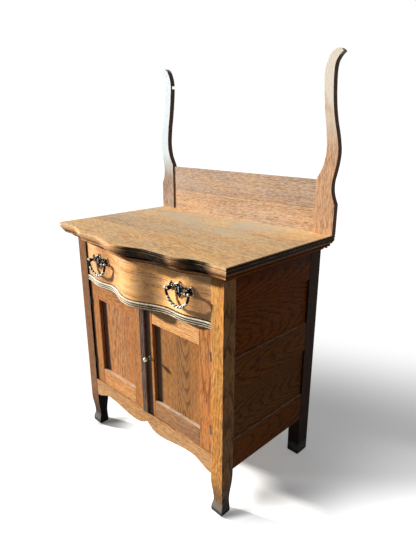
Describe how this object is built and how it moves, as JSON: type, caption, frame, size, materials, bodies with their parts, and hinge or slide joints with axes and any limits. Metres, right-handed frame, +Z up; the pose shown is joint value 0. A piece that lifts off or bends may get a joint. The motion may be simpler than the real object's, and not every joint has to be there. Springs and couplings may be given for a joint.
{
  "type": "washstand",
  "caption": "Oak washstand with a serpentine drawer above a cupboard with hinged doors, curved front feet, a moulded top, a splashback and tall scrolled towel-bar uprights.",
  "frame": {"origin": "on the floor, under the middle of the bounding box (midway between the drawer's bow and the back)", "axes": "+X to the viewer's right across the front, +Y towards the back, +Z up"},
  "size_m": [0.738, 0.511, 1.2356],
  "materials": {
    "oak_posts": "worn oak, golden brown",
    "oak_side_rails": "oak, darkened on the side",
    "oak_side_panels": "oak, open grain",
    "pine_inside": "unfinished softwood",
    "oak_front": "worn oak, golden brown",
    "oak_top": "worn oak, dull varnish",
    "oak_mouldings": "oak, varnished",
    "oak_splash": "worn pale oak",
    "screw_steel": "dull steel",
    "hinge_iron": "dark, rubbed",
    "oak_door_frames": "oak, varnished",
    "oak_door_panels": "oak, open grain",
    "knob_metal": "tarnished",
    "oak_drawer_front": "oak, varnished",
    "pine_drawer": "unfinished softwood",
    "pull_metal": "tarnished, dark"
  },
  "bodies": {
    "carcase": {"front_left_post": "oak_posts", "front_right_post": "oak_posts", "back_left_post": "oak_posts", "back_right_post": "oak_posts", "left_top_rail": "oak_side_rails", "left_middle_rail": "oak_side_rails", "left_bottom_rail": "oak_side_rails", "right_top_rail": "oak_side_rails", "right_middle_rail": "oak_side_rails", "right_bottom_rail": "oak_side_rails", "left_upper_panel": "oak_side_panels", "left_lower_panel": "oak_side_panels", "right_upper_panel": "oak_side_panels", "right_lower_panel": "oak_side_panels", "back_top_rail": "pine_inside", "back_bottom_rail": "pine_inside", "back_boards": "pine_inside", "reeded_rail": "oak_front", "apron": "oak_front", "cupboard_floor": "pine_inside", "left_runner": "pine_inside", "right_runner": "pine_inside", "stops": "pine_inside", "top_board": "oak_top", "front_moulding": "oak_mouldings", "left_moulding": "oak_mouldings", "right_moulding": "oak_mouldings", "top_back_cleat": "pine_inside", "splashback": "oak_splash", "left_upright": "oak_splash", "right_upright": "oak_splash", "upright_screws": "screw_steel", "glue_blocks": "pine_inside", "case_hinge_leaves": "hinge_iron"},
    "drawer": {"drawer_front": "oak_drawer_front", "drawer_left_side": "pine_drawer", "drawer_right_side": "pine_drawer", "drawer_back": "pine_drawer", "drawer_bottom": "pine_drawer", "left_pull": "pull_metal", "right_pull": "pull_metal"},
    "left_bail": {"left_bail": "pull_metal"},
    "right_bail": {"right_bail": "pull_metal"},
    "left_door": {"left_hinge_stile": "oak_door_frames", "left_meeting_stile": "oak_door_frames", "left_door_top_rail": "oak_door_frames", "left_door_bottom_rail": "oak_door_frames", "left_door_panel": "oak_door_panels", "left_door_hinge_leaves": "hinge_iron", "left_bolt_bracket": "hinge_iron"},
    "right_door": {"right_hinge_stile": "oak_door_frames", "right_meeting_stile": "oak_door_frames", "right_door_top_rail": "oak_door_frames", "right_door_bottom_rail": "oak_door_frames", "right_door_panel": "oak_door_panels", "right_door_hinge_leaves": "hinge_iron", "meeting_strip": "oak_door_frames"},
    "latch": {"door_knob": "knob_metal", "latch_cam": "hinge_iron"},
    "left_bolt": {"left_bolt": "screw_steel"}
  },
  "joints": [
    {"name": "drawer_slide", "type": "slide", "parent": "carcase", "child": "drawer", "axis": [0, -1, 0], "range_m": [0, 0.28]},
    {"name": "left_bail_swing", "type": "hinge", "parent": "drawer", "child": "left_bail", "pos_m": [-0.186, -0.18844, 0.6485], "axis": [-1, 0, 0], "range_deg": [0, 85]},
    {"name": "right_bail_swing", "type": "hinge", "parent": "drawer", "child": "right_bail", "pos_m": [0.186, -0.18844, 0.6485], "axis": [-1, 0, 0], "range_deg": [0, 85]},
    {"name": "left_door_hinge", "type": "hinge", "parent": "carcase", "child": "left_door", "pos_m": [-0.2841, -0.163, 0.379], "axis": [0, 0, -1], "range_deg": [0, 115]},
    {"name": "right_door_hinge", "type": "hinge", "parent": "carcase", "child": "right_door", "pos_m": [0.2841, -0.163, 0.379], "axis": [0, 0, 1], "range_deg": [0, 115]},
    {"name": "latch_turn", "type": "hinge", "parent": "right_door", "child": "latch", "pos_m": [0.025, -0.1375, 0.388], "axis": [0, 1, 0], "range_deg": [0, 90]},
    {"name": "left_bolt_slide", "type": "slide", "parent": "left_door", "child": "left_bolt", "axis": [0, 0, 1], "range_m": [0, 0.01]}
  ]
}
